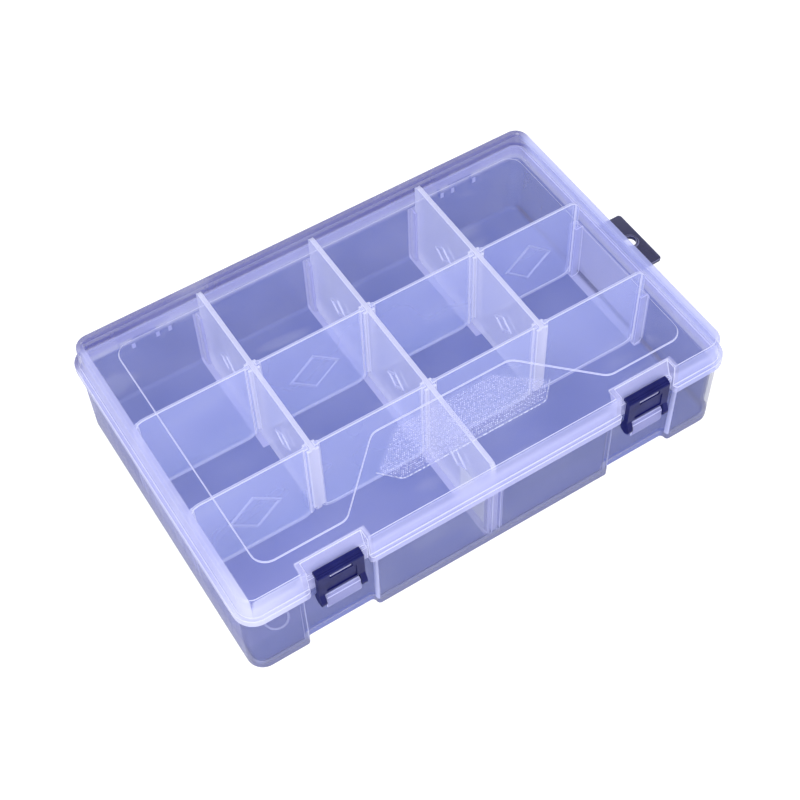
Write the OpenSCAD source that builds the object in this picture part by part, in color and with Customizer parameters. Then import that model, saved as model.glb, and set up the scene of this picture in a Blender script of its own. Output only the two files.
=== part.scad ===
// Clear organiser box: a tray with ten cells, a hinged lid and two swinging latches.
// The origin is the middle of the tray's underside; the latches are at -Y, the hang tab at +X.

/* [Tray] */
// Outside length of the tray
tray_l = 202.9; // [185:0.1:245]
// Outside width of the tray
tray_w = 133.4; // [115:0.1:162]
// Height of the shoulder that the lid's lip rests on
shoulder_z = 34.4; // [30:0.1:42]
// Height of the rim above the shoulder
rim_h = 5.1; // [3.5:0.1:6]
// How far the rim stands in from the wall's outer face
rim_set = 1.7; // [1.5:0.05:2]
// Thickness of the rim
rim_t = 1.1; // [0.9:0.05:1.3]
// Thickness of the wall at the shoulder
shoulder_t = 2.1; // [1.8:0.1:2.6]
// Radius of the upright corners
corner_r = 6.5; // [6:0.1:9]
// Thickness of the walls
wall = 1.5; // [1.2:0.05:1.8]
// Thickness of the floor
floor_t = 1.5; // [1:0.1:2.2]
// Fillet where the walls meet the floor
floor_fillet = 1.8; // [1:0.1:2.2]
// Rounding of the tray's bottom edge
foot_r = 1; // [0.5:0.1:1.4]

/* [Lid] */
// Height of the lid over the shoulder
lid_h = 12.9; // [11.9:0.1:20]
// Height of the lid's lip
lip_h = 3.4; // [2.5:0.1:4]
// How far the lip stands out from the tray's wall
lip_out = 1.6; // [1.2:0.1:2.5]
// Thickness of the lid's skirt and top
lid_t = 1.3; // [1:0.05:1.5]
// Gap between the tray's rim and the lid's skirt
rim_gap = 0.35; // [0.3:0.05:0.5]
// How far the skirt leans in from lip to top
skirt_lean = 0.7; // [0.3:0.05:0.9]
// Rounding of the lid's top edge
lid_edge_r = 1.1; // [0.5:0.1:1.2]

/* [Raised panel on the lid] */
// Height of the raised panel over the lid's top
panel_rise = 0.6; // [0.3:0.1:1]
// Width of the plain border at the sides
border_side = 12.4; // [10:0.1:16]
// Width of the plain border at the back
border_back = 13.1; // [10:0.1:16]
// Width of the plain border at the front
border_front = 10.9; // [9:0.1:14]
// Radius of the panel's corners
panel_r = 5.9; // [3:0.1:8]
// Width of the front notch at its mouth
notch_w = 110; // [80:1:112]
// Depth of the front notch
notch_d = 25.6; // [18:0.1:28]
// Radius of the notch's corners
notch_r = 6; // [3:0.5:8]

/* [Dividers] */
// Distance of the side columns from the middle column
column_x = 49.3; // [44:0.1:56]
// Distance of the rows from the middle
row_y = 21.2; // [18:0.1:24]
// Gap between the dividers' top edges and the lid
divider_gap = 1; // [0.6:0.1:3]
// Thickness of a column divider
column_t = 2; // [1.6:0.1:2.4]
// Thickness of a row panel
row_t = 1.2; // [1:0.1:1.4]
// Width of the thicker band at a row panel's ends
end_band = 2; // [1.5:0.1:3]
// How much the end band stands out on each face
end_band_out = 0.3; // [0.2:0.05:0.4]
// Radius of a divider's bottom corners
divider_foot_r = 6; // [4:0.5:8]
// Radius of a row panel's top corner by the tray's wall
row_head_r = 5; // [2:0.5:7]
// Radius of a column's top corner by the tray's wall
column_head_r = 2.5; // [1:0.5:5]
// Gap between a divider and what it stands on or slides in
slot_gap = 0.15; // [0.1:0.05:0.2]
// Gap between a divider's end and the tray's rim
end_gap = 0.35; // [0.2:0.05:0.5]
// Thickness of a guide rib
guide_t = 1.1; // [0.8:0.1:1.4]
// How far the guide ribs on the tray's walls stand in
guide_in = 3.6; // [3.2:0.1:4.5]
// How far the guide ribs on a column stand out
guide_out = 1.5; // [1:0.1:1.8]
// How far guide ribs stop below the edge over them
guide_stop = 0.5; // [0.3:0.1:1.5]
// Half the width of the lozenge on a row panel
row_lozenge_x = 10.9; // [6:0.1:14]
// Half the height of the lozenge on a row panel
row_lozenge_z = 10; // [6:0.1:12]
// Half the width of the lozenges on a column
column_lozenge_y = 5.7; // [4:0.1:8]
// Half the height of the lozenges on a column
column_lozenge_z = 4.2; // [3:0.1:8]
// Width of a lozenge's line
lozenge_line = 0.8; // [0.6:0.1:1.2]
// How much a lozenge's line stands out
lozenge_rise = 0.3; // [0.2:0.05:0.4]

/* [Latches] */
// Distance of the latches from the middle
latch_x = 65; // [60:0.1:72]
// Width of a latch
latch_w = 18.2; // [16:0.1:19]
// Thickness of a latch's plate
latch_t = 2.1; // [1.8:0.1:2.2]
// Thickness of a latch's leg
leg_t = 2; // [1.8:0.1:2.6]
// Radius of a leg's round end
leg_r = 2.6; // [2:0.1:2.6]
// Height of the pivot below the shoulder
pivot_drop = 7.4; // [5.5:0.1:9]
// Radius of the hole in a lug
pivot_hole_r = 1; // [0.8:0.05:1.1]
// Radial clearance of the pivot stub
pivot_gap = 0.08; // [0.05:0.01:0.1]
// Length of a pivot stub
stub_l = 2.4; // [1.5:0.1:3]
// Height of the latch above the lid's ledge
hook_h = 1.7; // [1.4:0.1:2.6]
// How far the hook reaches in over the ledge
hook_in = 1.3; // [1:0.1:1.6]
// Width of the lid's tongue
tongue_w = 8.4; // [6:0.1:9]
// Thickness of the lid's tongue
tongue_t = 1.4; // [1.2:0.1:1.8]
// Clearance round the tongue and under the hook
latch_gap = 0.3; // [0.2:0.05:0.4]
// Depth of the sloped brow over the latch's plate
brow_run = 2.2; // [1.6:0.1:2.6]
// Height of the sloped brow
brow_drop = 1.2; // [0.8:0.1:1.3]
// Number of grip ribs on the brow
ribs = 3; // [2:1:4]
// Radius of a grip rib
rib_r = 0.3; // [0.2:0.05:0.35]
// Chamfer under the front of the plate, which clears the lug when the latch is open
plate_chamfer = 1; // [1:0.1:1.4]
// Depth of the shallow field in the plate
field_d = 0.4; // [0.2:0.1:0.6]
// Border round the shallow field
field_edge = 0.9; // [0.6:0.1:1.4]

/* [Latch places on the tray and lid] */
// Width of the recess in the tray's front wall
bay_w = 27.9; // [26.8:0.1:30]
// Depth of the recess
bay_d = 2.9; // [2.8:0.1:3.2]
// Radius of the recess's inner corners
bay_r = 1.4; // [0.8:0.1:2]
// Radius of the recess's outer corners
mouth_r = 1.5; // [1.4:0.1:2]
// Width of the pocket in the lid
pocket_w = 23.6; // [22:0.1:24]
// How far the pocket reaches in from the tray's front wall
pocket_d = 5.2; // [5:0.1:7]
// How far the pocket's back wall slopes
pocket_lean = 2.4; // [1.5:0.1:2.6]
// Radius of the lip's corners beside the pocket
lip_end_r = 1.5; // [0.8:0.1:1.6]
// Gap between a lug and the latch's legs
lug_gap = 0.2; // [0.15:0.05:0.3]
// Gap between a lug and the latch's plate above it
lug_head_gap = 0.9; // [0.8:0.1:1.5]
// Height of a lug over the pivot
lug_rise = 2.2; // [2:0.1:3]
// Depth of a lug under the pivot
lug_drop = 5.8; // [4:0.1:6.5]
// Wall of a lug in front of its hole
lug_wall = 0.6; // [0.5:0.05:0.8]
// Chamfer along a lug's front edges
lug_chamfer = 1; // [0.5:0.1:1.2]

/* [Hinges] */
// Distance of the hinges from the middle
hinge_x = 72.8; // [66:0.1:76]
// Height of the hinge pin below the shoulder
hinge_drop = 3.4; // [3:0.1:4.5]
// Radius of the knuckles
knuckle_r = 2.2; // [2:0.1:2.4]
// Width of the lid's knuckle
lid_knuckle_w = 9.9; // [8:0.1:12]
// Width of each of the tray's knuckles
tray_knuckle_w = 5; // [4:0.1:6]
// Gap between knuckles, and between a knuckle and the tray's wall
knuckle_gap = 0.3; // [0.2:0.05:0.4]
// Radius of the hinge pin
pin_r = 1; // [0.8:0.05:1.1]
// Radial clearance of the hinge pin
pin_gap = 0.06; // [0.03:0.01:0.1]
// How far the web under a tray's knuckle runs down the wall
web_h = 6; // [4:0.1:9]

/* [Hang tab] */
// How far the tab stands out from the tray
tab_out = 12.2; // [10:0.1:14]
// Width of the tab
tab_w = 27.4; // [20:0.1:34]
// Thickness of the tab
tab_t = 1.5; // [1.2:0.1:2]
// Radius of the tab's outer corners
tab_r = 1.5; // [1:0.1:4]
// Height of the tab's top below the shoulder
tab_drop = 0.5; // [0.5:0.1:3]
// Distance of the hang hole from the tab's outer edge
hang_in = 5.2; // [4.5:0.1:6]
// Radius of the hang hole
hang_r = 2.45; // [2:0.05:2.6]
// Width of the raised ring round the hang hole
ring_w = 0.9; // [0.6:0.1:1]
// Height of the raised ring
ring_rise = 0.4; // [0.2:0.1:0.5]

/* [Hidden] */
$fn = 48;
clear_tone = [0.74, 0.77, 0.95, 0.55];
divider_tone = [0.82, 0.84, 1, 0.6];
latch_tone = [0.10, 0.10, 0.36];
pin_tone = [0.75, 0.76, 0.78];
// A small overlap that fuses two shapes of one piece
bite = 0.4;
// How far a cut reaches past the face it opens
over = 1;
// Largest turn between two points of a rounded corner, in degrees
arc_step = 9;
// Where a swept profile starts, outwards from the corner's centre
sweep_start = 1;
// How far a block in the middle reaches past the corners' centres
core_reach = 2;
// How far the rounding of the lid's top edge crosses the skirt's face
edge_cross = 0.02;
// Angles at which a knuckle's web and arm run into it
web_turn = 40;
arm_turn = 30;
// Angles at which the front and the back of a latch's leg run into its round end
leg_front_turn = 20;
leg_back_turn = 45;
// Tray
half_l = tray_l / 2;
half_w = tray_w / 2;
rim_z = shoulder_z + rim_h;
in_l = half_l - wall;
in_w = half_w - wall;
rim_in_l = half_l - rim_set - rim_t;
rim_in_w = half_w - rim_set - rim_t;
rim_slope = rim_set + rim_t - wall;
rim_foot_z = shoulder_z - shoulder_t - rim_slope;
bay_y = -half_w + bay_d;
// Lid: heights from the lip up
box_h = shoulder_z + lid_h;
lip_top_z = shoulder_z + lip_h;
lid_under_z = box_h - lid_t;
skirt_in = rim_set - rim_gap;
skirt_out = skirt_in - lid_t;
ledge_z = rim_z + rim_gap + lid_t;
pocket_face_y = bay_y - rim_gap - lid_t;
pocket_back_y = -half_w + pocket_d;
// Latch: its round ends turn just clear of the recess's back
pivot_y = bay_y - leg_r - rim_gap;
pivot_z = shoulder_z - pivot_drop;
plate_in_y = pocket_face_y - latch_gap;
plate_out_y = plate_in_y - latch_t;
tongue_out_y = plate_out_y + latch_gap;
lug_out_y = pivot_y - pivot_hole_r - lug_wall;
lug_w = latch_w - 2 * (leg_t + lug_gap);
lug_top_z = pivot_z + lug_rise;
lug_foot_z = pivot_z - lug_drop;
hook_z = ledge_z + latch_gap;
latch_top_z = hook_z + hook_h;
hook_in_y = pocket_face_y + hook_in;
slot_foot_z = ledge_z - tongue_t - latch_gap;
plate_foot_z = lug_top_z + lug_head_gap;
// Hinge: the knuckles turn just clear of the tray's back wall
pin_y = half_w + knuckle_gap + knuckle_r;
pin_z = shoulder_z - hinge_drop;
pin_l = lid_knuckle_w + 2 * (knuckle_gap + tray_knuckle_w);
// Dividers
floor_z = floor_t + slot_gap;
divider_top = lid_under_z - divider_gap;
column_end = rim_in_w - end_gap;
row_end = rim_in_l - end_gap;
guide_top_z = rim_foot_z - guide_stop;
band_t = row_t + 2 * end_band_out;
guide_row_gap = band_t / 2 + slot_gap;
column_front_y = -(row_y + guide_row_gap + guide_t);
column_guide_foot_z = floor_z + divider_foot_r;
column_guide_top_z = divider_top - guide_stop;
lozenge_mid_z = (floor_z + divider_top) / 2;
// Hang tab
tab_z = shoulder_z - tab_drop;
hang_x = half_l + tab_out - hang_in;

// ---- Shapes that several pieces share ----

// Filled rectangle with round corners, centred
module round_rect(l, w, r) {
    square([l - 2 * r, w], center = true);
    square([l, w - 2 * r], center = true);
    for (x = [-1, 1]) {
        for (y = [-1, 1]) {
            translate([x * (l / 2 - r), y * (w / 2 - r)]) circle(r);
        }
    }
}

// Carries a wall's profile round a rectangle with round corners: x is the distance
// outwards from the corner's centre, y is the height
module around(l, w, r) {
    for (turn = [0, 180]) {
        rotate([0, 0, turn]) {
            translate([l / 2 - r, w / 2 - r, 0]) rotate([90, 0, 0]) linear_extrude(w - 2 * r) children();
            translate([l / 2 - r, w / 2 - r, 0]) rotate_extrude(angle = 90) children();
            translate([r - l / 2, w / 2 - r, 0]) rotate([90, 0, 90]) linear_extrude(l - 2 * r) children();
            translate([r - l / 2, w / 2 - r, 0]) rotate([0, 0, 90]) rotate_extrude(angle = 90) children();
        }
    }
}

// Extrudes a profile drawn in (y, z) along X, centred on x
module along_x(x, w) {
    translate([x - w / 2, 0, 0]) rotate([90, 0, 90]) linear_extrude(w) children();
}

// Cylinder along X, centred on x
module rod_x(x, y, z, r, l) {
    translate([x - l / 2, y, z]) rotate([0, 90, 0]) cylinder(r = r, h = l);
}

// Block that fills the middle of a moulding, between its swept sides
module core(z0, z1) {
    reach = 2 * (core_reach - corner_r);
    translate([0, 0, (z0 + z1) / 2]) cube([tray_l + reach, tray_w + reach, z1 - z0], center = true);
}

// What comes off a bottom edge to round it, with the piece at +x
module foot_cut() {
    difference() {
        translate([-bite, -over]) square([foot_r + bite, foot_r + over]);
        translate([foot_r, foot_r]) circle(foot_r);
    }
}

// What comes off both sides of a gap's mouth to round it: the gap is w wide and opens at y
module mouth_cut(w, y, r) {
    for (side = [-1, 1]) {
        difference() {
            translate([side * (w + r - bite) / 2, y + (r - over) / 2])
                square([r + bite, r + over], center = true);
            translate([side * (w / 2 + r), y + r]) circle(r);
        }
    }
}

// Outline of a rhombus, as a line of constant width
module lozenge(hx, hz) {
    side = sqrt(hx * hx + hz * hz);
    inner = 1 - lozenge_line * side / (hx * hz);
    difference() {
        polygon([[hx, 0], [0, hz], [-hx, 0], [0, -hz]]);
        polygon(inner * [[hx, 0], [0, hz], [-hx, 0], [0, -hz]]);
    }
}

// ---- Tray ----

module tray_profile() {
    difference() {
        translate([sweep_start, 0]) square([corner_r - sweep_start, rim_z]);
        // Inside of the wall, with the fillet at the floor
        translate([0, floor_t + floor_fillet])
            square([corner_r - wall, rim_foot_z - floor_t - floor_fillet]);
        translate([0, floor_t]) square([corner_r - wall - floor_fillet, rim_z]);
        translate([corner_r - wall - floor_fillet, floor_t + floor_fillet]) circle(floor_fillet);
        // Slope under the rim, and the rim's inner face
        polygon([[0, rim_foot_z], [corner_r - wall, rim_foot_z],
            [corner_r - rim_set - rim_t, rim_foot_z + rim_slope],
            [corner_r - rim_set - rim_t, rim_z + over], [0, rim_z + over]]);
        // Shoulder
        translate([corner_r - rim_set, shoulder_z]) square([rim_set + over, rim_h + over]);
        translate([corner_r, 0]) mirror([1, 0]) foot_cut();
    }
}

// How far the recess's footprint reaches, from its back to past the tray's face
function bay_reach(g) = bay_d + g + 2 * (bay_r + g);

// Footprint of the recess for a latch, grown by g
module bay_print(g) {
    translate([0, bay_y + g - bay_reach(g) / 2]) round_rect(bay_w + 2 * g, bay_reach(g), bay_r + g);
}

// The recess itself, with its upright corners and its bottom edge rounded
module bay(x) {
    translate([x, 0, 0]) {
        translate([0, 0, -over]) linear_extrude(rim_z + 2 * over) {
            bay_print(0);
            mouth_cut(bay_w, -half_w, mouth_r);
        }
        translate([0, bay_y - bay_reach(0) / 2, 0])
            around(bay_w, bay_reach(0), bay_r) translate([bay_r, 0]) foot_cut();
        for (side = [-1, 1]) {
            translate([side * (bay_w / 2 + mouth_r), mouth_r - half_w, 0])
                rotate([0, 0, side < 0 ? 270 : 180])
                    rotate_extrude(angle = 90) translate([mouth_r, 0]) mirror([1, 0]) foot_cut();
        }
    }
}

// Walls round both recesses between two heights, no further out than set_in from the tray's face
module bay_walls(z0, z1, set_in) {
    translate([0, 0, z0]) linear_extrude(z1 - z0) intersection() {
        for (x = [-latch_x, latch_x]) {
            translate([x, 0]) bay_print(wall);
        }
        translate([-half_l, -half_w + set_in]) square([tray_l, tray_w]);
    }
}

module lug(x) {
    difference() {
        along_x(x, lug_w) polygon([[bay_y + bite, lug_foot_z], [lug_out_y + lug_chamfer, lug_foot_z],
            [lug_out_y, lug_foot_z + lug_chamfer], [lug_out_y, lug_top_z - lug_chamfer],
            [lug_out_y + lug_chamfer, lug_top_z], [bay_y + bite, lug_top_z]]);
        rod_x(x, pivot_y, pivot_z, pivot_hole_r, lug_w + 2 * over);
    }
}

// Two ribs that hold the end of a divider, standing in from the wall at +Y
module wall_guide(gap) {
    for (side = [-1, 1]) {
        translate([side * (gap + guide_t / 2), (bite - guide_in) / 2, (guide_top_z + floor_t - bite) / 2])
            cube([guide_t, guide_in + bite, guide_top_z - floor_t + bite], center = true);
    }
}

// Knuckle on the tray's back wall, with the web that carries it
module tray_knuckle(x) {
    difference() {
        union() {
            rod_x(x, pin_y, pin_z, knuckle_r, tray_knuckle_w);
            along_x(x, tray_knuckle_w) polygon([[half_w - bite, pin_z - web_h], [half_w, pin_z - web_h],
                [pin_y + knuckle_r * cos(web_turn), pin_z - knuckle_r * sin(web_turn)],
                [pin_y, pin_z], [pin_y, pin_z + knuckle_r], [half_w - bite, pin_z + knuckle_r]]);
        }
        rod_x(x, pin_y, pin_z, pin_r + pin_gap, tray_knuckle_w + 2 * over);
    }
}

module hang_tab() {
    difference() {
        union() {
            translate([half_l - bite, -tab_w / 2, tab_z - tab_t]) linear_extrude(tab_t) {
                square([tab_out + bite - tab_r, tab_w]);
                translate([0, tab_r]) square([tab_out + bite, tab_w - 2 * tab_r]);
                for (y = [tab_r, tab_w - tab_r]) {
                    translate([tab_out + bite - tab_r, y]) circle(tab_r);
                }
            }
            translate([hang_x, 0, tab_z - tab_t]) cylinder(r = hang_r + ring_w, h = tab_t + ring_rise);
        }
        translate([hang_x, 0, tab_z - tab_t - over]) cylinder(r = hang_r, h = tab_t + ring_rise + 2 * over);
    }
}

module tray() {
    color(clear_tone) {
        difference() {
            union() {
                around(tray_l, tray_w, corner_r) tray_profile();
                core(0, floor_t);
                bay_walls(0, shoulder_z, 0);
                bay_walls(shoulder_z, rim_z, rim_set);
            }
            for (x = [-latch_x, latch_x]) {
                bay(x);
            }
        }
        for (x = [-latch_x, latch_x]) {
            lug(x);
        }
        for (turn = [0, 180]) {
            rotate([0, 0, turn]) translate([0, in_w, 0]) wall_guide(column_t / 2 + slot_gap);
        }
        for (x = [-column_x, column_x]) {
            translate([x, in_w, 0]) wall_guide(column_t / 2 + slot_gap);
        }
        for (turn = [90, -90]) {
            for (y = [-row_y, row_y]) {
                translate([0, y, 0]) rotate([0, 0, turn]) translate([0, in_l, 0]) wall_guide(guide_row_gap);
            }
        }
        for (side = [-1, 1]) {
            for (end = [-1, 1]) {
                tray_knuckle(side * hinge_x + end * (lid_knuckle_w + tray_knuckle_w + 2 * knuckle_gap) / 2);
            }
        }
        hang_tab();
    }
}

// ---- Lid ----

// The lid's outer shape: x from the corner's centre of the tray's outline
module lid_outer_profile() {
    r = corner_r;
    side = r - skirt_out;
    lean = atan(skirt_lean / (box_h - lip_top_z));
    reach = lid_edge_r + over;
    translate([sweep_start, shoulder_z]) square([r + lip_out - sweep_start, lip_h]);
    difference() {
        polygon([[sweep_start, shoulder_z], [side, shoulder_z], [side, lip_top_z],
            [side - skirt_lean, box_h], [sweep_start, box_h]]);
        // Rounded top edge, which meets the leaning side at a slight angle
        translate([side - skirt_lean - lid_edge_r / tan(45 + lean / 2) + edge_cross, box_h - lid_edge_r])
            difference() {
                polygon([[0, 0], [reach * cos(lean), reach * sin(lean)], [reach, reach], [0, reach]]);
                circle(lid_edge_r);
            }
    }
}

module lid_inner_profile() {
    r = corner_r;
    polygon([[0, shoulder_z - over], [r - skirt_in, shoulder_z - over], [r - skirt_in, lip_top_z],
        [r - skirt_in - skirt_lean, lid_under_z], [0, lid_under_z]]);
}

// Points of the arc of radius r that rounds corner b between its neighbours a and c
function corner_arc(a, b, c, r) = let(
    u = (a - b) / norm(a - b),
    v = (c - b) / norm(c - b),
    half = acos(u * v) / 2,
    centre = b + (u + v) / norm(u + v) * r / sin(half),
    first = b + u * r / tan(half) - centre,
    start = atan2(first[1], first[0]),
    turn = (180 - 2 * half) * (cross(b - a, c - b) > 0 ? 1 : -1),
    steps = ceil(abs(turn) / arc_step))
    [for (i = [0:steps]) centre + r * [cos(start + turn * i / steps), sin(start + turn * i / steps)]];

// Outline of the raised panel, with the notch that dips in from the front
module panel_print() {
    back = half_w - border_back;
    front = -half_w + border_front;
    side = half_l - border_side;
    mouth = notch_w / 2;
    outline = [[side, front], [side, back], [-side, back], [-side, front], [-mouth, front],
        [notch_d - mouth, front + notch_d], [mouth - notch_d, front + notch_d], [mouth, front]];
    radii = [panel_r, panel_r, panel_r, panel_r, notch_r, notch_r, notch_r, notch_r];
    n = len(outline);
    polygon([for (i = [0:n - 1])
        each corner_arc(outline[(i + n - 1) % n], outline[i], outline[(i + 1) % n], radii[i])]);
}

// Section of the pocket that a latch sits in, grown by g: open to the front, the top and below
module pocket_profile(g) {
    far = -half_w - lip_out - over;
    top = box_h + over;
    foot = shoulder_z - 2 * over;
    polygon([[pocket_back_y + g, top], [pocket_back_y + g, box_h - g],
        [pocket_back_y - pocket_lean + g, ledge_z - g], [pocket_face_y + g, ledge_z - g],
        [pocket_face_y + g, foot], [far, foot], [far, top]]);
}

// Knuckle of the lid, on an arm that comes down from the lip
module lid_knuckle(x) {
    face = half_w + knuckle_gap;
    difference() {
        union() {
            rod_x(x, pin_y, pin_z, knuckle_r, lid_knuckle_w);
            along_x(x, lid_knuckle_w) polygon([[face, pin_z], [face, shoulder_z + bite],
                [half_w + lip_out - bite, lip_top_z - bite],
                [pin_y + knuckle_r * cos(arm_turn), pin_z + knuckle_r * sin(arm_turn)],
                [pin_y, pin_z]]);
        }
        rod_x(x, pin_y, pin_z, pin_r + pin_gap, lid_knuckle_w + 2 * over);
    }
}

module lid() {
    color(clear_tone) {
        difference() {
            union() {
                around(tray_l, tray_w, corner_r) lid_outer_profile();
                core(shoulder_z, box_h);
                translate([0, 0, box_h - bite]) linear_extrude(panel_rise + bite) panel_print();
            }
            difference() {
                union() {
                    around(tray_l, tray_w, corner_r) lid_inner_profile();
                    core(shoulder_z - over, lid_under_z);
                }
                for (x = [-latch_x, latch_x]) {
                    along_x(x, pocket_w + 2 * lid_t) pocket_profile(lid_t);
                }
            }
            for (x = [-latch_x, latch_x]) {
                along_x(x, pocket_w) pocket_profile(0);
                translate([x, 0, shoulder_z - over]) linear_extrude(lip_h + 2 * over)
                    mouth_cut(pocket_w, -half_w - lip_out, lip_end_r);
            }
        }
        // Tongues that show through the latches
        for (x = [-latch_x, latch_x]) {
            translate([x - tongue_w / 2, tongue_out_y, ledge_z - tongue_t])
                cube([tongue_w, pocket_face_y + bite - tongue_out_y, tongue_t]);
        }
        for (x = [-hinge_x, hinge_x]) {
            lid_knuckle(x);
        }
    }
}

// ---- Latches ----

// Section of the plate and its hook, with grip ribs on the sloped brow
module latch_profile() {
    polygon([[plate_in_y, plate_foot_z], [plate_in_y, hook_z], [hook_in_y, hook_z],
        [hook_in_y, latch_top_z - rib_r], [hook_in_y - rib_r, latch_top_z],
        [plate_out_y + brow_run, latch_top_z], [plate_out_y, latch_top_z - brow_drop],
        [plate_out_y, plate_foot_z + plate_chamfer], [plate_out_y + plate_chamfer, plate_foot_z]]);
    for (i = [0:ribs - 1]) {
        up = (i + 0.5) / ribs;
        translate([plate_out_y + up * brow_run, latch_top_z - (1 - up) * brow_drop]) circle(rib_r);
    }
}

module latch_leg_profile() {
    translate([pivot_y, pivot_z]) circle(leg_r);
    polygon([[plate_in_y, plate_foot_z + plate_chamfer], [plate_out_y, plate_foot_z + plate_chamfer],
        [pivot_y - leg_r * cos(leg_front_turn), pivot_z + leg_r * sin(leg_front_turn)],
        [pivot_y, pivot_z],
        [pivot_y + leg_r * cos(leg_back_turn), pivot_z + leg_r * sin(leg_back_turn)]]);
}

module latch(x) {
    color(latch_tone) {
        difference() {
            along_x(x, latch_w) latch_profile();
            // Slot that the lid's tongue shows through
            translate([x, plate_in_y, (hook_z + slot_foot_z) / 2])
                cube([tongue_w + 2 * latch_gap, 2 * (latch_t + over), hook_z - slot_foot_z], center = true);
            // Shallow field under the slot
            translate([x, plate_out_y, (plate_foot_z + plate_chamfer + slot_foot_z) / 2])
                cube([lug_w - 2 * field_edge, 2 * field_d,
                    slot_foot_z - plate_foot_z - plate_chamfer - 2 * field_edge], center = true);
        }
        for (side = [-1, 1]) {
            along_x(x + side * (latch_w - leg_t) / 2, leg_t) latch_leg_profile();
            rod_x(x + side * ((latch_w - stub_l) / 2 - leg_t), pivot_y, pivot_z,
                pivot_hole_r - pivot_gap, stub_l);
        }
    }
}

// ---- Hinge pins ----

module hinge_pin(x) {
    color(pin_tone) rod_x(x, pin_y, pin_z, pin_r, pin_l);
}

// ---- Dividers ----

// Upright outline from u0 to u1, with round bottom corners and round or square top corners
module divider_print(u0, u1, head0, head1) {
    foot = divider_foot_r;
    head = max(head0, head1);
    translate([u0, floor_z + foot]) square([u1 - u0, divider_top - floor_z - foot - head]);
    translate([u0 + foot, floor_z]) square([u1 - u0 - 2 * foot, foot + bite]);
    for (u = [u0 + foot, u1 - foot]) {
        translate([u, floor_z + foot]) circle(foot);
    }
    translate([u0 + head0, divider_top - head - bite])
        square([u1 - u0 - head0 - head1, head + bite]);
    if (head0 > 0) translate([u0 + head0, divider_top - head0]) circle(head0);
    if (head1 > 0) translate([u1 - head1, divider_top - head1]) circle(head1);
}

// Column divider along Y, with the guide ribs that hold the rows' ends; a whole one runs
// from wall to wall, the others stop in front of the front row
module column(x, whole) {
    y0 = whole ? -column_end : column_front_y;
    color(divider_tone) {
        along_x(x, column_t) divider_print(y0, column_end, whole ? column_head_r : 0, column_head_r);
        for (row = [-row_y, row_y]) {
            for (side = [-1, 1]) {
                y = row + side * (guide_row_gap + guide_t / 2);
                translate([x - column_t / 2 - guide_out, y - guide_t / 2, column_guide_foot_z])
                    cube([column_t + 2 * guide_out, guide_t, column_guide_top_z - column_guide_foot_z]);
            }
        }
        for (y = [(column_end + row_y) / 2, 0, -(column_end + row_y) / 2]) {
            if (y > y0) {
                translate([0, y, lozenge_mid_z]) along_x(x, column_t + 2 * lozenge_rise)
                    lozenge(column_lozenge_y, column_lozenge_z);
            }
        }
    }
}

// Row panel along X; face tells where its lozenge is: -1 towards the latches, 1 away, 0 for none
module row_panel(y, x0, x1, head0, head1, face) {
    color(divider_tone) {
        translate([0, y + row_t / 2, 0]) rotate([90, 0, 0]) linear_extrude(row_t)
            divider_print(x0, x1, head0, head1);
        // Thicker bands down both ends
        translate([0, y + band_t / 2, 0]) rotate([90, 0, 0]) linear_extrude(band_t) intersection() {
            divider_print(x0, x1, head0, head1);
            for (x = [x0 - over, x1 - end_band]) {
                translate([x, floor_z]) square([end_band + over, divider_top - floor_z]);
            }
        }
        if (face != 0)
            translate([(x0 + x1) / 2, y + (face < 0 ? 0 : row_t / 2 + lozenge_rise), lozenge_mid_z])
            rotate([90, 0, 0]) linear_extrude(row_t / 2 + lozenge_rise)
                lozenge(row_lozenge_x, row_lozenge_z);
    }
}

// The four places across a row, counted from the left
module row_panel_at(y, place, face) {
    near = column_t / 2 + slot_gap;
    starts = [-row_end, -column_x + near, near, column_x + near];
    ends = [-column_x - near, -near, column_x - near, row_end];
    row_panel(y, starts[place - 1], ends[place - 1], place == 1 ? row_head_r : 0,
        place == 4 ? row_head_r : 0, face);
}

tray();
lid();
latch(-latch_x);  // latch_left
latch(latch_x);  // latch_right
hinge_pin(-hinge_x);  // hinge_pin_left
hinge_pin(hinge_x);  // hinge_pin_right
column(-column_x, false);  // column_left
column(0, true);  // column_middle
column(column_x, false);  // column_right
row_panel_at(row_y, 1, 0);  // row_panel_a1
row_panel_at(row_y, 2, -1);  // row_panel_a2
row_panel_at(row_y, 3, 0);  // row_panel_a3
row_panel_at(row_y, 4, -1);  // row_panel_a4
row_panel_at(-row_y, 1, -1);  // row_panel_b1
row_panel_at(-row_y, 2, 0);  // row_panel_b2
row_panel_at(-row_y, 3, 0);  // row_panel_b3
row_panel_at(-row_y, 4, 0);  // row_panel_b4
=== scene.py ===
import math

import bpy
import numpy as np
from mathutils import Matrix, Vector


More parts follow.
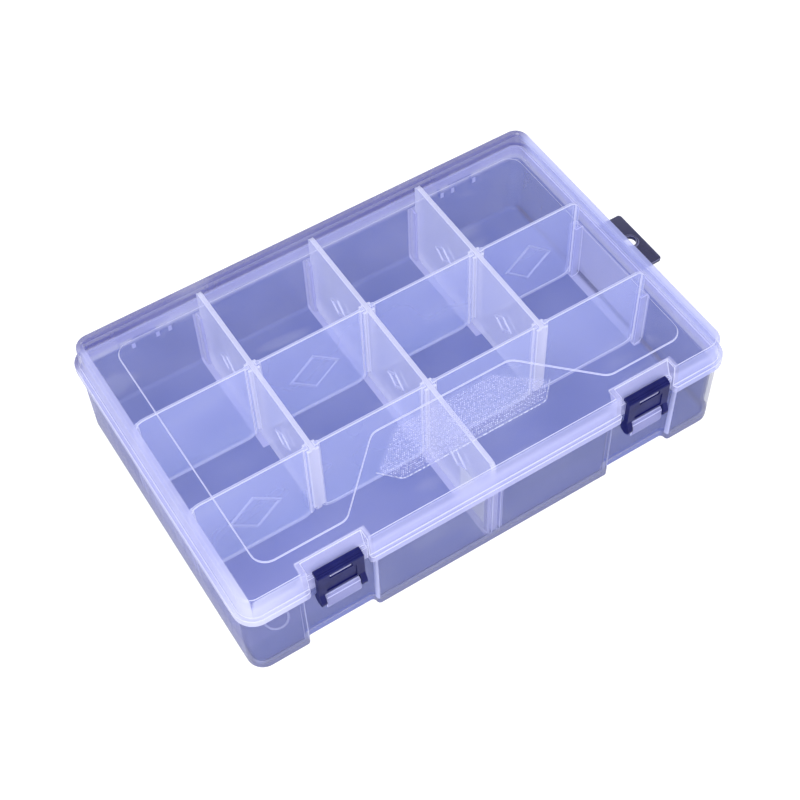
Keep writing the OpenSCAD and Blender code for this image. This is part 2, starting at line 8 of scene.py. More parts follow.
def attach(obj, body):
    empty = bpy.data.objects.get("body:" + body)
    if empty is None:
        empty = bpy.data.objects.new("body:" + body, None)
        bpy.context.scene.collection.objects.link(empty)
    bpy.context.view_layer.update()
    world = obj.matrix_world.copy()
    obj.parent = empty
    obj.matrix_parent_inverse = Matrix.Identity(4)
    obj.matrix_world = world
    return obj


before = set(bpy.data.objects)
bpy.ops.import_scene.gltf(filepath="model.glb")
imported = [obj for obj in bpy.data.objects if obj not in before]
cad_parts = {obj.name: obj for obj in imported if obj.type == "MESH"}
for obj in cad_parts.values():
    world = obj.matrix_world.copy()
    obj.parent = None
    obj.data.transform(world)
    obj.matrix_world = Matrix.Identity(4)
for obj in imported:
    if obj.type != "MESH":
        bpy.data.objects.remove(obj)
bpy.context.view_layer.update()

# ---- Tray ----
# One deep tub, injection moulded in a single shot from clear polypropylene. Its broad walls
# look smoky blue, the rim and the lugs under the latches are paler, and every edge shows as a
# pale line, a painted highlight for the light the plastic gathers there. Painted light pales
# the front left corner; painted shade dulls the back edges and darkens the hang tab.

# Distances of the latches, the side columns and the knuckles' edges from the middle
latch_x, column_x, knuckle_edges = 0.0650, 0.0493, (0.0626, 0.0678, 0.0782)
# Middle and half height of the guide ribs
rib_z, rib_half = 0.0165, 0.0150
tray_rounding = 0.00024


def new_group(name, sockets, outputs):
    """Empty node group with named inputs (name, socket kind, value) and outputs (name, kind)."""
    group = bpy.data.node_groups.new(name, "ShaderNodeTree")
    for label, kind, value in sockets:
        socket = group.interface.new_socket(label, in_out="INPUT", socket_type="NodeSocket" + kind)
        socket.default_value = value
    for label, kind in outputs:
        group.interface.new_socket(label, in_out="OUTPUT", socket_type="NodeSocket" + kind)
    return group, group.nodes.new("NodeGroupInput"), group.nodes.new("NodeGroupOutput")


def put(tree, kind, links=(), **settings):
    """New node in a tree: settings are its properties, links are pairs of an input and either a
    value or an output socket."""
    node = tree.nodes.new("ShaderNode" + kind)
    for key, value in settings.items():
        setattr(node, key, value)
    for key, value in links:
        if isinstance(value, bpy.types.NodeSocket):
            tree.links.new(value, node.inputs[key])
        else:
            node.inputs[key].default_value = value
    return node


def clear_plastic():
    """Node group for clear moulded plastic. Soft clouds of haze drift through the wall, fine flow
    lines run along the moulding and pale smears mark where the melt cooled unevenly."""
    cloud_scale, cloud_paling = 30, 0.03
    flow_scale, flow_roughness = (30, 420, 90), 0.12
    smear_place, smear_scale, smear_paling = (0.4, 0.7, 0.2), (24, 75, 60), 0.13
    milk = (0.85, 0.88, 1, 1)
    group, into, out = new_group(
        "clear plastic",
        (("Colour", "Color", (0.5, 0.5, 0.9, 1)), ("Alpha", "Float", 0.4),
         ("Haze", "Float", 0.03), ("Gloss", "Float", 0.14)),
        (("Colour", "Color"), ("Alpha", "Float"), ("Roughness", "Float"), ("Height", "Float")),
    )
    place = put(group, "TexCoord").outputs["Object"]
    clouds = put(group, "TexNoise", [("Vector", place), ("Scale", cloud_scale),
                                     ("Detail", 1)]).outputs["Fac"]
    drift = put(group, "MapRange", [("Value", clouds), ("From Min", 0.3), ("From Max", 0.7),
                                    ("To Min", -1), ("To Max", 1)]).outputs["Result"]
    drawn = put(group, "Mapping", [("Vector", place), ("Scale", flow_scale)]).outputs["Vector"]
    flow = put(group, "TexNoise", [("Vector", drawn), ("Scale", 1), ("Detail", 0)]).outputs["Fac"]
    wide = put(group, "Mapping", [("Vector", place), ("Location", smear_place),
                                  ("Scale", smear_scale)]).outputs["Vector"]
    patch = put(group, "TexNoise", [("Vector", wide), ("Scale", 1), ("Detail", 1)]).outputs["Fac"]
    smear = put(group, "MapRange", [("Value", patch), ("From Min", 0.60), ("From Max", 0.74)],
                interpolation_type="SMOOTHSTEP").outputs["Result"]
    paler = put(group, "Math", [(0, drift), (1, cloud_paling)], operation="MULTIPLY").outputs[0]
    paler = put(group, "Math", [(0, smear), (1, smear_paling), (2, paler)],
                operation="MULTIPLY_ADD", use_clamp=True).outputs[0]
    colour = put(group, "Mix", [("Factor", paler), ("A", into.outputs["Colour"]), ("B", milk)],
                 data_type="RGBA").outputs["Result"]
    dense = put(group, "Math", [(0, drift), (1, into.outputs["Haze"]), (2, into.outputs["Alpha"])],
                operation="MULTIPLY_ADD", use_clamp=True).outputs[0]
    rough = put(group, "Math", [(0, flow), (1, flow_roughness), (2, into.outputs["Gloss"])],
                operation="MULTIPLY_ADD").outputs[0]
    for label, socket in (("Colour", colour), ("Alpha", dense), ("Roughness", rough),
                          ("Height", flow)):
        group.links.new(socket, out.inputs[label])
    return group


def gradient_mask():
    """Node group: a mask that rises smoothly along a direction, from 0 at From to 1 at To."""
    group, into, out = new_group(
        "gradient mask",
        (("Along", "Vector", (0, 0, 1)), ("From", "Float", 0), ("To", "Float", 0.01)),
        (("Mask", "Float"),))
    place = put(group, "TexCoord").outputs["Object"]
    reach = put(group, "VectorMath", [(0, place), (1, into.outputs["Along"])],
                operation="DOT_PRODUCT").outputs["Value"]
    mask = put(group, "MapRange", [("Value", reach), ("From Min", into.outputs["From"]),
                                   ("From Max", into.outputs["To"])],
               interpolation_type="SMOOTHSTEP").outputs["Result"]
    group.links.new(mask, out.inputs["Mask"])
    return group


def box_mask():
    """Node group: 1 inside a box that is mirrored left and right, fading to 0 over Blend outside
    it."""
    group, into, out = new_group(
        "box mask",
        (("Centre", "Vector", (0, 0, 0)), ("Half", "Vector", (1, 1, 1)), ("Blend", "Float", 0.001)),
        (("Mask", "Float"),))
    place = put(group, "TexCoord").outputs["Object"]
    split = put(group, "SeparateXYZ", [(0, place)]).outputs
    side = put(group, "Math", [(0, split["X"])], operation="ABSOLUTE").outputs[0]
    folded = put(group, "CombineXYZ", [("X", side), ("Y", split["Y"]),
                                       ("Z", split["Z"])]).outputs[0]
    away = put(group, "VectorMath", [(0, folded), (1, into.outputs["Centre"])],
               operation="SUBTRACT").outputs[0]
    away = put(group, "VectorMath", [(0, away)], operation="ABSOLUTE").outputs[0]
    away = put(group, "VectorMath", [(0, away), (1, into.outputs["Half"])],
               operation="SUBTRACT").outputs[0]
    parts = put(group, "SeparateXYZ", [(0, away)]).outputs
    far = put(group, "Math", [(0, parts["X"]), (1, parts["Y"])], operation="MAXIMUM").outputs[0]
    far = put(group, "Math", [(0, far), (1, parts["Z"])], operation="MAXIMUM").outputs[0]
    mask = put(group, "MapRange", [("Value", far), ("From Min", into.outputs["Blend"]),
                                   ("From Max", 0)],
               interpolation_type="SMOOTHSTEP").outputs["Result"]
    group.links.new(mask, out.inputs["Mask"])
    return group


def rim_mask():
    """Node group: 1 on the narrow faces of a plate, 0 on its two broad faces, which look along
    Axis."""
    group, into, out = new_group("rim mask", (("Axis", "Vector", (1, 0, 0)),), (("Mask", "Float"),))
    facing = put(group, "TexCoord").outputs["Normal"]
    across = put(group, "VectorMath", [(0, facing), (1, into.outputs["Axis"])],
                 operation="DOT_PRODUCT").outputs["Value"]
    across = put(group, "Math", [(0, across)], operation="ABSOLUTE").outputs[0]
    mask = put(group, "MapRange", [("Value", across), ("From Min", 0.6),
                                   ("From Max", 0.3)]).outputs["Result"]
    group.links.new(mask, out.inputs["Mask"])
    return group


plastic, gradient, box, plate_rim = clear_plastic(), gradient_mask(), box_mask(), rim_mask()


def rising(along, start, end):
    """Mask that rises along a direction between two distances, in metres."""
    return gradient, (("Along", along), ("From", start), ("To", end))


def inside(centre, half, blend=0.0004):
    """Mask of a box, mirrored left and right."""
    return box, (("Centre", centre), ("Half", half), ("Blend", blend))


def rim(axis):
    """Mask of the narrow faces of a plate whose broad faces look along axis."""
    return plate_rim, (("Axis", axis),)


def clear_material(name, colour, alpha, haze=0.03, gloss=0.14, zones=(), grain=0):
    """Clear plastic. Each zone, (mask, colour, alpha), is laid over what comes before it. Grain
    makes it denser and clearer from speck to speck."""
    grain_scale, flow_depth, shade_left_out = 1100, 0.00002, 0.75
    material = bpy.data.materials.new(name)
    material.use_nodes = True
    tree = material.node_tree
    shader = tree.nodes["Principled BSDF"]
    shader.inputs["IOR"].default_value = 1.49
    tint, dense = (*colour, 1), alpha
    for (group, values), zone_colour, zone_alpha in zones:
        mask = put(tree, "Group", values, node_tree=group).outputs["Mask"]
        tint = put(tree, "Mix", [("Factor", mask), ("A", tint), ("B", (*zone_colour, 1))],
                   data_type="RGBA").outputs["Result"]
        dense = put(tree, "Mix", [("Factor", mask), ("A", dense), ("B", zone_alpha)],
                    data_type="FLOAT").outputs["Result"]
    look = put(tree, "Group", [("Colour", tint), ("Alpha", dense), ("Haze", haze),
                               ("Gloss", gloss)], node_tree=plastic).outputs
    wave = put(tree, "Bump", [("Height", look["Height"]), ("Distance", flow_depth),
                              ("Strength", 0.5)]).outputs["Normal"]
    dense = look["Alpha"]
    if grain:
        place = put(tree, "TexCoord").outputs["Object"]
        speck = put(tree, "TexNoise", [("Vector", place), ("Scale", grain_scale),
                                       ("Detail", 0)]).outputs["Fac"]
        speck = put(tree, "MapRange", [("Value", speck), ("From Min", 0.35), ("From Max", 0.65),
                                       ("To Min", 1 - grain),
                                       ("To Max", 1 + grain)]).outputs["Result"]
        dense = put(tree, "Math", [(0, dense), (1, speck)], operation="MULTIPLY",
                    use_clamp=True).outputs[0]
    # Clear plastic shades what lies under it far less than its haze hides
    ray = put(tree, "LightPath").outputs
    lit = put(tree, "Math", [(0, ray["Is Shadow Ray"]), (1, ray["Is Diffuse Ray"])],
              operation="MAXIMUM").outputs[0]
    thin = put(tree, "Math", [(0, lit), (1, -shade_left_out), (2, 1)],
               operation="MULTIPLY_ADD").outputs[0]
    alpha = put(tree, "Math", [(0, dense), (1, thin)], operation="MULTIPLY").outputs[0]
    for key, socket in (("Base Color", look["Colour"]), ("Alpha", alpha),
                        ("Roughness", look["Roughness"]), ("Normal", wave)):
        tree.links.new(socket, shader.inputs[key])
    return material


def rounded_edges(piece, width, clamp):
    """Welds the loose triangles, joins those in one plane and cuts them evenly, so that no wide
    face folds over itself, and rounds each sharp edge by width.
    The narrow faces of the rounding take the piece's second material."""
    piece.modifiers.new("weld", "WELD").merge_threshold = 1e-6
    planes = piece.modifiers.new("planes", "DECIMATE")
    planes.decimate_type = "DISSOLVE"
    planes.angle_limit = math.radians(1)
    piece.modifiers.new("triangles", "TRIANGULATE").min_vertices = 5
    rounding = piece.modifiers.new("rounding", "BEVEL")
    rounding.width = width
    rounding.segments = 2
    rounding.limit_method = "ANGLE"
    rounding.angle_limit = math.radians(30)
    rounding.use_clamp_overlap = clamp
    rounding.material = 1
    piece.modifiers.new("flat faces", "WEIGHTED_NORMAL").keep_sharp = True


def dress(node, face, edge, width, clamp=False):
    """Gives a CAD node its face and edge materials and rounds its edges."""
    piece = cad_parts[node]
    piece.data.materials.clear()
    piece.data.materials.append(face)
    piece.data.materials.append(edge)
    rounded_edges(piece, width, clamp)


rib_tone, painted_glint_tone, foot_tone = (0.50, 0.52, 0.95), (0.40, 0.43, 0.85), (0.13, 0.14, 0.33)
tray_wall = clear_material("tray wall", (0.088, 0.124, 0.475), 0.70, zones=(
    # Painted light: towards the front left corner the tub is a little paler
    (rising((-0.5, -0.8, 0), 0.02, 0.10), (0.165, 0.195, 0.61), 0.70),
    # The left wall's outside is smokier
    (rising((-1, 0, 0), 0.0995, 0.1002), (0.052, 0.072, 0.43), 0.70),
    # The front wall is the clearest, so the middle divider's end shows through it
    (rising((0, -1, 0), 0.0600, 0.0612), (0.125, 0.140, 0.32), 0.34),
    # The floor just behind it is as dense as the rest
    (inside((0, -0.0610, 0.0010), (0.1005, 0.0041, 0.0026)), (0.110, 0.145, 0.52), 0.72),
    # The thin rim inside the lid
    (rising((0, 0, 1), 0.0325, 0.0345), (0.50, 0.52, 0.91), 0.40),
    # The guide ribs that hold the dividers
    (inside((0, 0, rib_z), (0.0032, 0.0651, rib_half)), rib_tone, 0.60),
    (inside((column_x, 0.0400, rib_z), (0.0032, 0.0251, rib_half)), rib_tone, 0.60),
    (inside((0.0980, 0, rib_z), (0.0019, 0.0240, rib_half)), (0.46, 0.49, 0.93), 0.60),
    # The rounded corners where the wall turns into the recesses
    (inside((latch_x, -0.0660, 0.0170), (0.0146, 0.0010, 0.0165)), (0.50, 0.53, 0.90), 0.75),
    # Painted glints on the back wall, where the hinges' knuckles glimmer through it
    *((inside((x, 0.0654, 0.0310), (0.0005, 0.0010, 0.0028), 0.0006), painted_glint_tone, 0.80)
      for x in knuckle_edges),
    # The foot of the outer walls, where the floor's edge backs them
    (inside((0, -0.0663, 0.0010), (0.1100, 0.0017, 0.0022), 0.0012), foot_tone, 0.82),
    (inside((0.1010, 0, 0.0010), (0.0013, 0.0800, 0.0022), 0.0012), foot_tone, 0.82),
    # The lugs under the latches
    (inside((latch_x, -0.0685, 0.0252), (0.0075, 0.0017, 0.006), 0.0001), (0.24, 0.25, 0.58), 0.70),
    # The hang tab, tinted near black: painted shade standing in for the shadow seen through it
    (inside((0.108, 0, 0.033), (0.0055, 0.02, 0.004), 0.0006), (0.022, 0.022, 0.085), 0.92),
))
# Painted highlight: the tub's rounded edges take this paler, denser colour for the light the
# plastic gathers there
tray_edge = clear_material("tray edge", (0.56, 0.58, 0.95), 0.85, gloss=0.08, zones=(
    # Painted shade: duller at the back, and dark round the hang tab
    (rising((0, 1, 0), 0.055, 0.066), (0.34, 0.35, 0.70), 0.70),
    (rising((1, 0, 0), 0.1030, 0.1036), (0.16, 0.16, 0.30), 0.90),
))
dress("tray", tray_wall, tray_edge, tray_rounding)


def new_piece(name, points, faces, material, smooth=False):
    """Object at the origin from a list of points, a list of faces and one material."""
    mesh = bpy.data.meshes.new(name)
    mesh.from_pydata(points.tolist(), [], faces)
    if smooth:
        mesh.polygons.foreach_set("use_smooth", np.ones(len(faces), bool))
    mesh.materials.append(material)
    piece = bpy.data.objects.new(name, mesh)
    bpy.context.scene.collection.objects.link(piece)
    return piece


def surface(name, points, closed_round, material):
    """Smooth piece from a grid of points (rows along a path, columns round its section). The
    columns always close; the rows close too if closed_round, or else end in flat caps."""
    rows, columns = points.shape[:2]
    index = np.arange(rows * columns).reshape(rows, columns)
    here = index if closed_round else index[:-1]
    ahead = np.roll(index, -1, axis=0) if closed_round else index[1:]
    faces = np.stack((here, ahead, np.roll(ahead, -1, axis=1), np.roll(here, -1, axis=1)), axis=-1)
    faces = faces.reshape(-1, 4).tolist()
    if not closed_round:
        faces += [index[0].tolist(), index[-1][::-1].tolist()]
    return new_piece(name, points.reshape(-1, 3), faces, material, smooth=True)


def bead(path, height, wide, tall, closed):
    """Points of a bead along a flat path: at angle v of its section the point is the path's point
    + wide cos v along the path's left-hand normal + tall sin v upwards."""
    if closed:
        run = np.roll(path, -1, axis=0) - np.roll(path, 1, axis=0)
    else:
        run = np.gradient(path, axis=0)
    run /= np.linalg.norm(run, axis=1, keepdims=True)
    normal = np.stack((-run[:, 1], run[:, 0]), axis=1)
    turn = np.linspace(0, 2 * np.pi, 10, endpoint=False)
    flat = path[:, None, :] + wide * np.cos(turn)[None, :, None] * normal[:, None, :]
    up = np.broadcast_to(height + tall * np.sin(turn), flat.shape[:2])
    return np.concatenate((flat, up[..., None]), axis=2)


# A plain round mark, raised on the tray's floor in the front left cell.
ring_middle, ring_radius, tray_floor = np.array((-0.0850, -0.0515)), 0.0046, 0.0015
ring_turn = np.linspace(0, 2 * np.pi, 64, endpoint=False)
ring_path = ring_middle + ring_radius * np.stack((np.cos(ring_turn), np.sin(ring_turn)), axis=1)
ring_mark = surface("tray_ring_mark", bead(ring_path, tray_floor, 0.00045, 0.00030, True), True,
                    clear_material("ring mark", (0.56, 0.59, 0.98), 0.9))
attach(ring_mark, "tray")

# ---- Dividers ----
# Thin loose plates of the same clear plastic, a little milkier than the tub. The three columns
# and the eight row panels drop into guide ribs; a painted highlight makes their cut edges pale
# lines.

cell_x, lozenge_z = (0.0247, 0.0744), 0.0233
column_rounding, panel_rounding = 0.00035, 0.00030
panel_face = clear_material("row panel", (0.49, 0.55, 1.0), 0.36, haze=0.02, zones=(
    # Denser low down
    (rising((0, 0, -1), -0.030, -0.004), (0.45, 0.53, 1.0), 0.38),
    # The right-hand ones are a little clearer
    (rising((1, 0, 0), 0.050, 0.060), (0.46, 0.52, 1.0), 0.34),
    # Painted highlight on the plates' narrow faces
    (rim((0, 1, 0)), (0.62, 0.65, 1.0), 0.52),
))
column_face = clear_material("column plate", (0.645, 0.675, 1.0), 0.60, haze=0.03, zones=(
    # Painted light: the middle one is paler and denser low down at its front end, where the front
    # wall shades it
    (inside((0, -0.0560, 0.0080), (0.0030, 0.0110, 0.0130), 0.002), (0.80, 0.83, 1.0), 0.80),
    # Painted highlight on the plate's narrow faces
    (rim((1, 0, 0)), (0.74, 0.75, 1.0), 0.66),
))
# Painted highlight: the plates' rounded edges take this paler, denser colour
plate_edge = clear_material("plate edge", (0.72, 0.74, 1.0), 0.90, gloss=0.08, zones=(
    # The raised lozenges on the row panels are fainter than the plates' own edges
    *((inside((x, 0, lozenge_z), (0.0115, 0.03, 0.0105)), (0.55, 0.60, 1.0), 0.45) for x in cell_x),
    # and so are those on the columns' flanks
    *((inside((cell_x[0], y, lozenge_z), (0.0290, 0.0062, 0.0052)), (0.60, 0.64, 1.0), 0.55)
      for y in (0.0424, 0, -0.0424)),
))
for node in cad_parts:
    if node.startswith("column"):
        dress(node, column_face, plate_edge, column_rounding)
    elif node.startswith("row_panel"):
        dress(node, panel_face, plate_edge, panel_rounding)

# ---- Lid ----
# A thin clear cover, moulded in one shot with its skirt, its lip and the arms of its hinges. The
# flat top is almost invisible; skirt and lip are denser, with painted light at the front and
# painted shade at the back.

lid_top, lid_rounding = 0.0473, 0.00022
# Painted light for the lit skirt and lip, painted shade for the back skirt
lid_painted_light, lid_painted_shade = (0.51, 0.53, 0.92), (0.13, 0.13, 0.41)
lid_face = clear_material("lid wall", lid_painted_light, 0.52, zones=(
    # Bluer towards the right
    (rising((1, 0.25, 0), 0.02, 0.09), (0.48, 0.52, 0.97), 0.50),
    # Painted highlight: brightest at the front left corner
    (rising((-0.7, -0.7, 0), 0.0950, 0.1150), (0.70, 0.72, 1.0), 0.60),
    # Painted shade on the back skirt
    (rising((0, 1, 0), 0.0570, 0.0640), lid_painted_shade, 0.66),
    # The flat top
    (inside((0, -0.0013, 0.05), (0.0974, 0.0639, 0.1), 0.0007), (0.50, 0.53, 0.95), 0.055),
    # The pockets behind the latches
    (inside((latch_x, -0.0645, 0.041), (0.0135, 0.0038, 0.01), 0.0006), (0.54, 0.55, 0.92), 0.42),
    # The tongues in the latches' slots
    (inside((latch_x, -0.0705, 0.0340), (0.0085, 0.0032, 0.0050)), (0.44, 0.45, 0.88), 0.45),
    # The riser of the raised panel, with a painted highlight along its contour
    (inside((0, 0, 0.0476), (0.1, 0.1, 0.00024), 0.00004), (0.64, 0.66, 1.0), 0.64),
))
# Painted highlight: the lid's rounded edges take this paler, denser colour
lid_edge = clear_material("lid edge", (0.70, 0.72, 1.0), 0.90, gloss=0.08, zones=(
    # Painted shade, dusky at the back, and a softer painted highlight round the raised panel
    (rising((0, 1, 0), 0.0570, 0.0640), (0.30, 0.30, 0.60), 0.80),
    (rising((0, 0, 1), 0.04732, 0.04740), (0.66, 0.68, 1.0), 0.70),
))
dress("lid", lid_face, lid_edge, lid_rounding)

# The stippled field in the notch of the raised panel: a fine pattern of low domes on a thin,
# faintly frosted ground, with a raised bead along its front.


def rounded_path(corners, radius, closed=True, steps=8):
    """Polyline with round corners: each corner becomes an arc of radius that is tangent to its
    two sides. An open path keeps its two ends as they are."""
    corners = np.asarray(corners, float)
    before, after = np.roll(corners, 1, axis=0) - corners, np.roll(corners, -1, axis=0) - corners
    before /= np.linalg.norm(before, axis=1, keepdims=True)
    after /= np.linalg.norm(after, axis=1, keepdims=True)
    half = np.arccos(np.clip((before * after).sum(axis=1), -1, 1)) / 2
    middle = before + after
    middle /= np.linalg.norm(middle, axis=1, keepdims=True)
    centre = corners + middle * (radius / np.sin(half))[:, None]
    first = corners + before * (radius / np.tan(half))[:, None] - centre
    last = corners + after * (radius / np.tan(half))[:, None] - centre
    share = np.linspace(0, 1, steps)[None, :, None]
    arc = first[:, None, :] * (1 - share) + last[:, None, :] * share
    arc *= radius / np.linalg.norm(arc, axis=2, keepdims=True)
    arc += centre[:, None, :]
    if not closed:
        return np.concatenate((corners[:1], arc[1:-1].reshape(-1, 2), corners[-1:]))
    return arc.reshape(-1, 2)


def domes(centres, height, base, crown, rise, sunk, sides=6):
    """Low domes on a flat ground: a ring of radius base sunk under the ground, a ring of radius
    crown at three quarters of the rise, and a point at the top and at the bottom."""
    turn = np.linspace(0, 2 * np.pi, sides, endpoint=False)
    ring = np.stack((np.cos(turn), np.sin(turn)), axis=1)
    shape = np.concatenate((
        np.column_stack((base * ring, np.full(sides, -sunk))),
        np.column_stack((crown * ring, np.full(sides, 0.75 * rise))),
        [[0, 0, rise], [0, 0, -sunk]]))
    points = shape[None] + np.column_stack((centres, np.full(len(centres), height)))[:, None, :]
    here = np.arange(sides)
    ahead = (here + 1) % sides
    flanks = np.stack((here, ahead, ahead + sides, here + sides), axis=1)
    crowns = np.stack((here + sides, ahead + sides, np.full(sides, 2 * sides)), axis=1)
    feet = np.stack((ahead, here, np.full(sides, 2 * sides + 1)), axis=1)
    start = (len(shape) * np.arange(len(centres)))[:, None, None]
    faces = [face for kind in (flanks, crowns, feet)
             for face in (kind[None] + start).reshape(-1, kind.shape[1]).tolist()]
    return points.reshape(-1, 3), faces


field = np.array([(-0.0205, -0.0315), (-0.0367, -0.0450), (-0.0300, -0.0522), (0.0300, -0.0522),
                  (0.0367, -0.0450), (0.0205, -0.0315)])
field_middle_y, plain_margin = -0.0418, 0.0008
dot_pitch, dome_base, dome_crown, dome_rise = 0.00080, 0.00029, 0.00020, 0.00016
sunk, ground_rise = 0.00005, 0.00004

# Spots in staggered rows, kept where they lie well inside every side of the field
spots = np.stack(np.meshgrid(np.arange(-50, 51), np.arange(-16, 17), indexing="ij"), axis=-1)
spots = spots.reshape(-1, 2)
spots = dot_pitch * np.column_stack((spots[:, 0] + 0.5 * (spots[:, 1] % 2),
                                     spots[:, 1] * math.sqrt(0.75)))
spots += (0, field_middle_y)
side = np.roll(field, -1, axis=0) - field
inwards = np.stack((-side[:, 1], side[:, 0]), axis=1) / np.linalg.norm(side, axis=1, keepdims=True)
depth = ((spots[:, None, :] - field[None]) * inwards[None]).sum(axis=2).min(axis=1)
points, faces = domes(spots[depth > plain_margin], lid_top, dome_base, dome_crown, dome_rise, sunk)
stipple = new_piece("lid_stipple", points, faces,
                    clear_material("stipple", (0.62, 0.64, 1.0), 0.36, gloss=0.10, grain=0.9))

# The ground is a flat plate with its outline rounded
ground_path = rounded_path(field, 0.003)
count = len(ground_path)
here = np.arange(count)
ahead = (here + 1) % count
points = np.concatenate((np.column_stack((ground_path, np.full(count, lid_top - sunk))),
                         np.column_stack((ground_path, np.full(count, lid_top + ground_rise)))))
faces = [here[::-1].tolist(), (count + here).tolist()]
faces += np.stack((here, ahead, count + ahead, count + here), axis=1).tolist()
ground = new_piece("lid_field", points, faces,
                   clear_material("frosted ground", (0.55, 0.58, 1.0), 0.07, gloss=0.35))

front_path = rounded_path(field[[1, 2, 3, 4]], 0.004, closed=False)
field_bead = surface("lid_field_bead", bead(front_path, lid_top, 0.00028, 0.00022, False), False,
                     clear_material("field bead", (0.66, 0.69, 1.0), 0.34, gloss=0.08, grain=0.7))
for piece in (stipple, ground, field_bead):
    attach(piece, "lid")

# ---- Latches ----
# Two small frames moulded in opaque navy plastic, satin on the faces, with paler edges and grip
# ribs, partly rubbed wear and partly a painted highlight. Each snaps on the lug of the tray and
# hooks over the lid's ledge.

latch_rounding = 0.00022


def navy_material(name, deep, rubbed_and_lit, amount):
    """Opaque moulded plastic: fine spark texture, slight clouding, and a paler colour mixed in,
    rubbed wear that on the edges is also a painted highlight.
    """
    cloud_scale, spark_scale, spark_depth = 160, 2600, 0.00002
    material = bpy.data.materials.new(name)
    material.use_nodes = True
    tree = material.node_tree
    shader = tree.nodes["Principled BSDF"]
    shader.inputs["IOR"].default_value = 1.5
    shader.inputs["Specular IOR Level"].default_value = 0.18
    place = put(tree, "TexCoord").outputs["Object"]
    clouds = put(tree, "TexNoise", [("Vector", place), ("Scale", cloud_scale),
                                    ("Detail", 4)]).outputs["Fac"]
    spark = put(tree, "TexNoise", [("Vector", place), ("Scale", spark_scale),
                                   ("Detail", 2)]).outputs["Fac"]
    rub_and_sheen = put(tree, "MapRange", [("Value", clouds), ("From Min", 0.35), ("From Max", 0.7),
                                 ("To Min", 0), ("To Max", amount)]).outputs["Result"]
    tint = put(tree, "Mix", [("Factor", rub_and_sheen), ("A", (*deep, 1)), ("B", (*rubbed_and_lit, 1))],
               data_type="RGBA").outputs["Result"]
    rough = put(tree, "Math", [(0, spark), (1, 0.25), (2, 0.28)],
                operation="MULTIPLY_ADD").outputs[0]
    bump = put(tree, "Bump", [("Height", spark), ("Distance", spark_depth),
                              ("Strength", 0.6)]).outputs["Normal"]
    for key, socket in (("Base Color", tint), ("Roughness", rough), ("Normal", bump)):
        tree.links.new(socket, shader.inputs[key])
    return material


navy_face = navy_material("navy plastic", (0.004, 0.005, 0.085), (0.009, 0.012, 0.13), 1.0)
# Painted highlight, partly rubbed wear: the latches' rounded edges and grip ribs take a paler navy
navy_edge = navy_material("navy edge", (0.02, 0.025, 0.20), (0.10, 0.11, 0.38), 0.7)
for node in ("latch_left", "latch_right"):
    dress(node, navy_face, navy_edge, latch_rounding, clamp=True)

# ---- Hinge pins ----
# Two pieces of drawn steel wire, pressed through the knuckles behind the lid.

pin_rounding, draw_scale = 0.00012, (60, 4000, 4000)
dark_steel, light_steel = (0.52, 0.53, 0.55, 1), (0.72, 0.73, 0.75, 1)
wire = bpy.data.materials.new("drawn wire")
wire.use_nodes = True
tree = wire.node_tree
shader = tree.nodes["Principled BSDF"]
shader.inputs["Metallic"].default_value = 1
place = put(tree, "TexCoord").outputs["Object"]
drawn = put(tree, "Mapping", [("Vector", place), ("Scale", draw_scale)]).outputs["Vector"]
streak = put(tree, "TexNoise", [("Vector", drawn), ("Scale", 1), ("Detail", 2)]).outputs["Fac"]
tint = put(tree, "Mix", [("Factor", streak), ("A", dark_steel), ("B", light_steel)],
           data_type="RGBA").outputs["Result"]
rough = put(tree, "Math", [(0, streak), (1, 0.25), (2, 0.18)], operation="MULTIPLY_ADD").outputs[0]
tree.links.new(tint, shader.inputs["Base Color"])
tree.links.new(rough, shader.inputs["Roughness"])
for node in ("hinge_pin_left", "hinge_pin_right"):
    dress(node, wire, wire, pin_rounding, clamp=True)

# ---- Camera ----
# It looks from the front left and well above, along the photograph's own view.

eye = Vector((-0.1756, -0.3007, 0.4961))
azimuth, elevation, roll = math.radians(30.34), math.radians(54.40), math.radians(-2.43)
camera = bpy.data.objects.new("camera", bpy.data.cameras.new("camera"))
bpy.context.scene.collection.objects.link(camera)
camera.data.lens = 69.7
camera.data.sensor_width = 36
camera.data.clip_start = 0.01
forward = Vector((math.sin(azimuth) * math.cos(elevation), math.cos(azimuth) * math.cos(elevation),
                  -math.sin(elevation)))
level = Vector((math.cos(azimuth), -math.sin(azimuth), 0))
upright = level.cross(forward)
right = math.cos(roll) * level + math.sin(roll) * upright
up = right.cross(forward)
camera.matrix_world = (Matrix.Translation(eye)
                       @ Matrix((right, up, -forward)).transposed().to_4x4())
bpy.context.scene.camera = camera

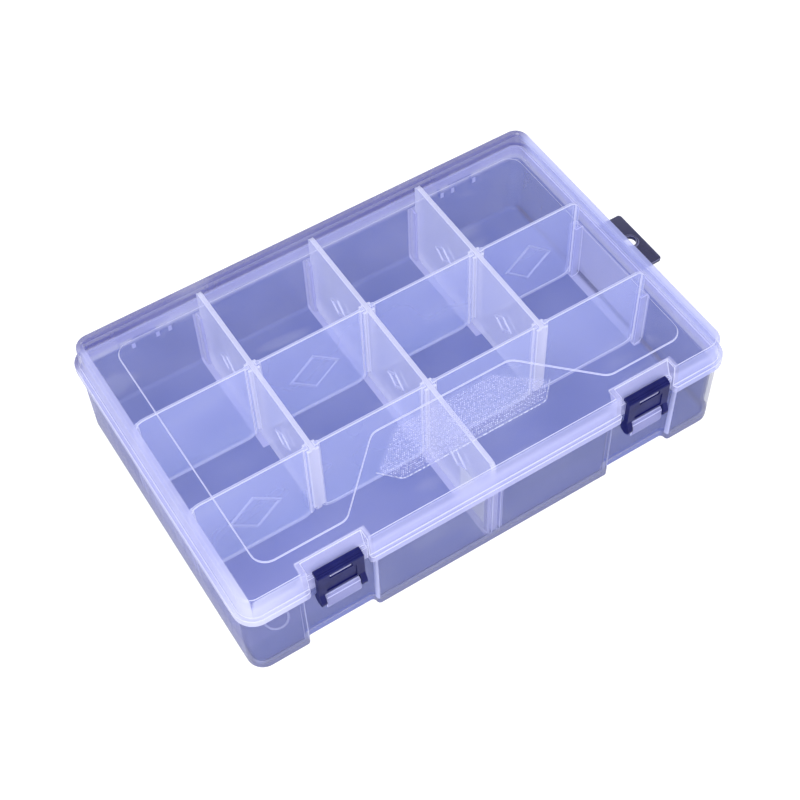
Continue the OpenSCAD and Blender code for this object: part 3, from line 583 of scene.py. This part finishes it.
# ---- Floor and lights ----
# A plain pale floor that looks white to the camera and keeps a soft shadow, an even pale sky,
# a large soft lamp from the front left, and a low one in front that draws light along the fillets.

floor_reach, floor_gap, floor_lift = 3, 0.0002, 0.30
sky_level, white = 0.75, (1, 1, 1, 1)
floor_mesh = bpy.data.meshes.new("floor")
floor_mesh.from_pydata([(-floor_reach, -floor_reach, 0), (floor_reach, -floor_reach, 0),
                        (floor_reach, floor_reach, 0), (-floor_reach, floor_reach, 0)], [],
                       [(0, 1, 2, 3)])
floor = bpy.data.objects.new("floor", floor_mesh)
bpy.context.scene.collection.objects.link(floor)
floor.location.z = -floor_gap
pale = bpy.data.materials.new("pale floor")
pale.use_nodes = True
tree = pale.node_tree
shader = tree.nodes["Principled BSDF"]
shader.inputs["Base Color"].default_value = (0.9, 0.9, 0.9, 1)
shader.inputs["Roughness"].default_value = 0.9
shader.inputs["Emission Color"].default_value = white
seen = put(tree, "LightPath").outputs["Is Camera Ray"]
lift = put(tree, "Math", [(0, seen), (1, floor_lift)], operation="MULTIPLY").outputs[0]
tree.links.new(lift, shader.inputs["Emission Strength"])
floor_mesh.materials.append(pale)

world = bpy.data.worlds.new("studio")
world.use_nodes = True
tree = world.node_tree
seen = put(tree, "LightPath").outputs["Is Camera Ray"]
strength = put(tree, "Math", [(0, seen), (1, 1 - sky_level), (2, sky_level)],
               operation="MULTIPLY_ADD").outputs[0]
tree.nodes["Background"].inputs["Color"].default_value = white
tree.links.new(strength, tree.nodes["Background"].inputs["Strength"])
bpy.context.scene.world = world
for name, watts, size, place in (("key lamp", 5.0, 0.6, (-0.55, -0.45, 0.85)),
                                 ("front lamp", 1.6, 0.35, (0.25, -0.85, 0.45))):
    lamp = bpy.data.objects.new(name, bpy.data.lights.new(name, "AREA"))
    lamp.data.energy = watts
    lamp.data.size = size
    lamp.location = place
    lamp.rotation_euler = (-lamp.location).to_track_quat("-Z", "Y").to_euler()
    bpy.context.scene.collection.objects.link(lamp)

bpy.context.scene.view_settings.view_transform = "Standard"
bpy.context.scene.cycles.transparent_max_bounces = 64
